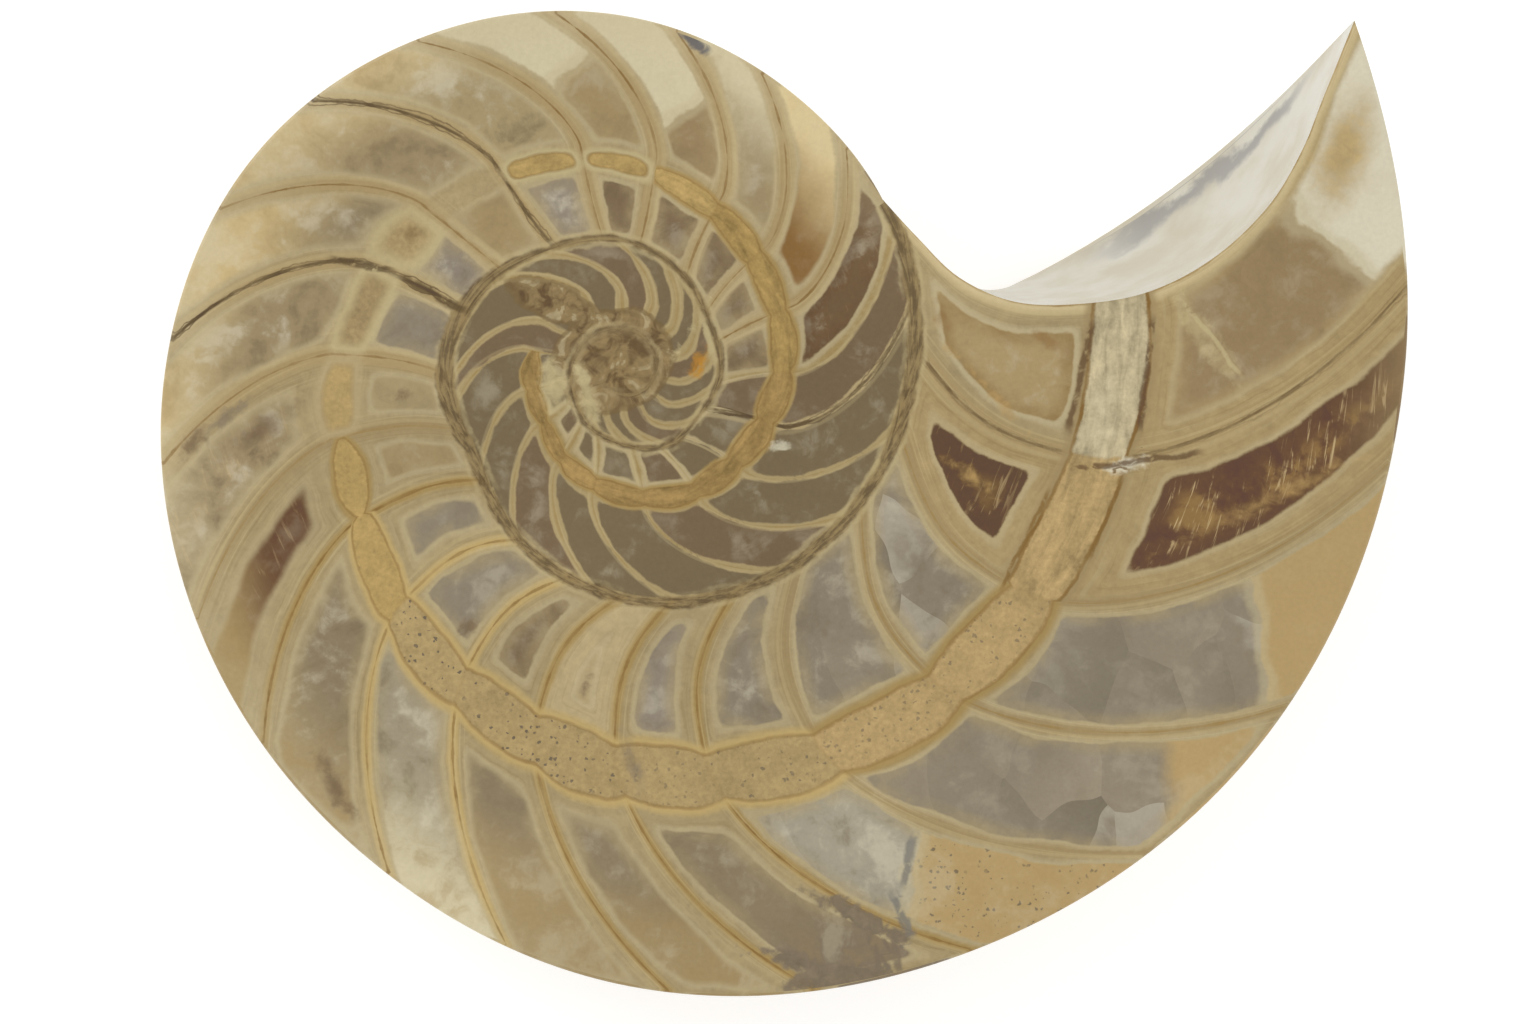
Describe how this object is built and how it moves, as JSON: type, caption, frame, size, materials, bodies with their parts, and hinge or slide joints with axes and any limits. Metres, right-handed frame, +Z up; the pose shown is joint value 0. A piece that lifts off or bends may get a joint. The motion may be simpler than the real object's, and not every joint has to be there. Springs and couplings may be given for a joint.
{
  "type": "fossil nautilus shell half",
  "caption": "Fossil coiled chambered shell, sawn in half and polished: a flat cut face over a rounded flank, with the hollow of the last septum at its mouth.",
  "frame": {"origin": "on the surface that the half lies on, below the middle of its box", "axes": "+Z up, out of the surface; +X towards the mouth's side of the shell; +Y towards the tip of the last septum, across the cut face"},
  "size_m": [0.1136, 0.0902, 0.0372],
  "materials": {
    "fossil_calcite": "polished, satin gloss"
  },
  "bodies": {
    "root": {"nautilus_half": "fossil_calcite"}
  },
  "joints": []
}
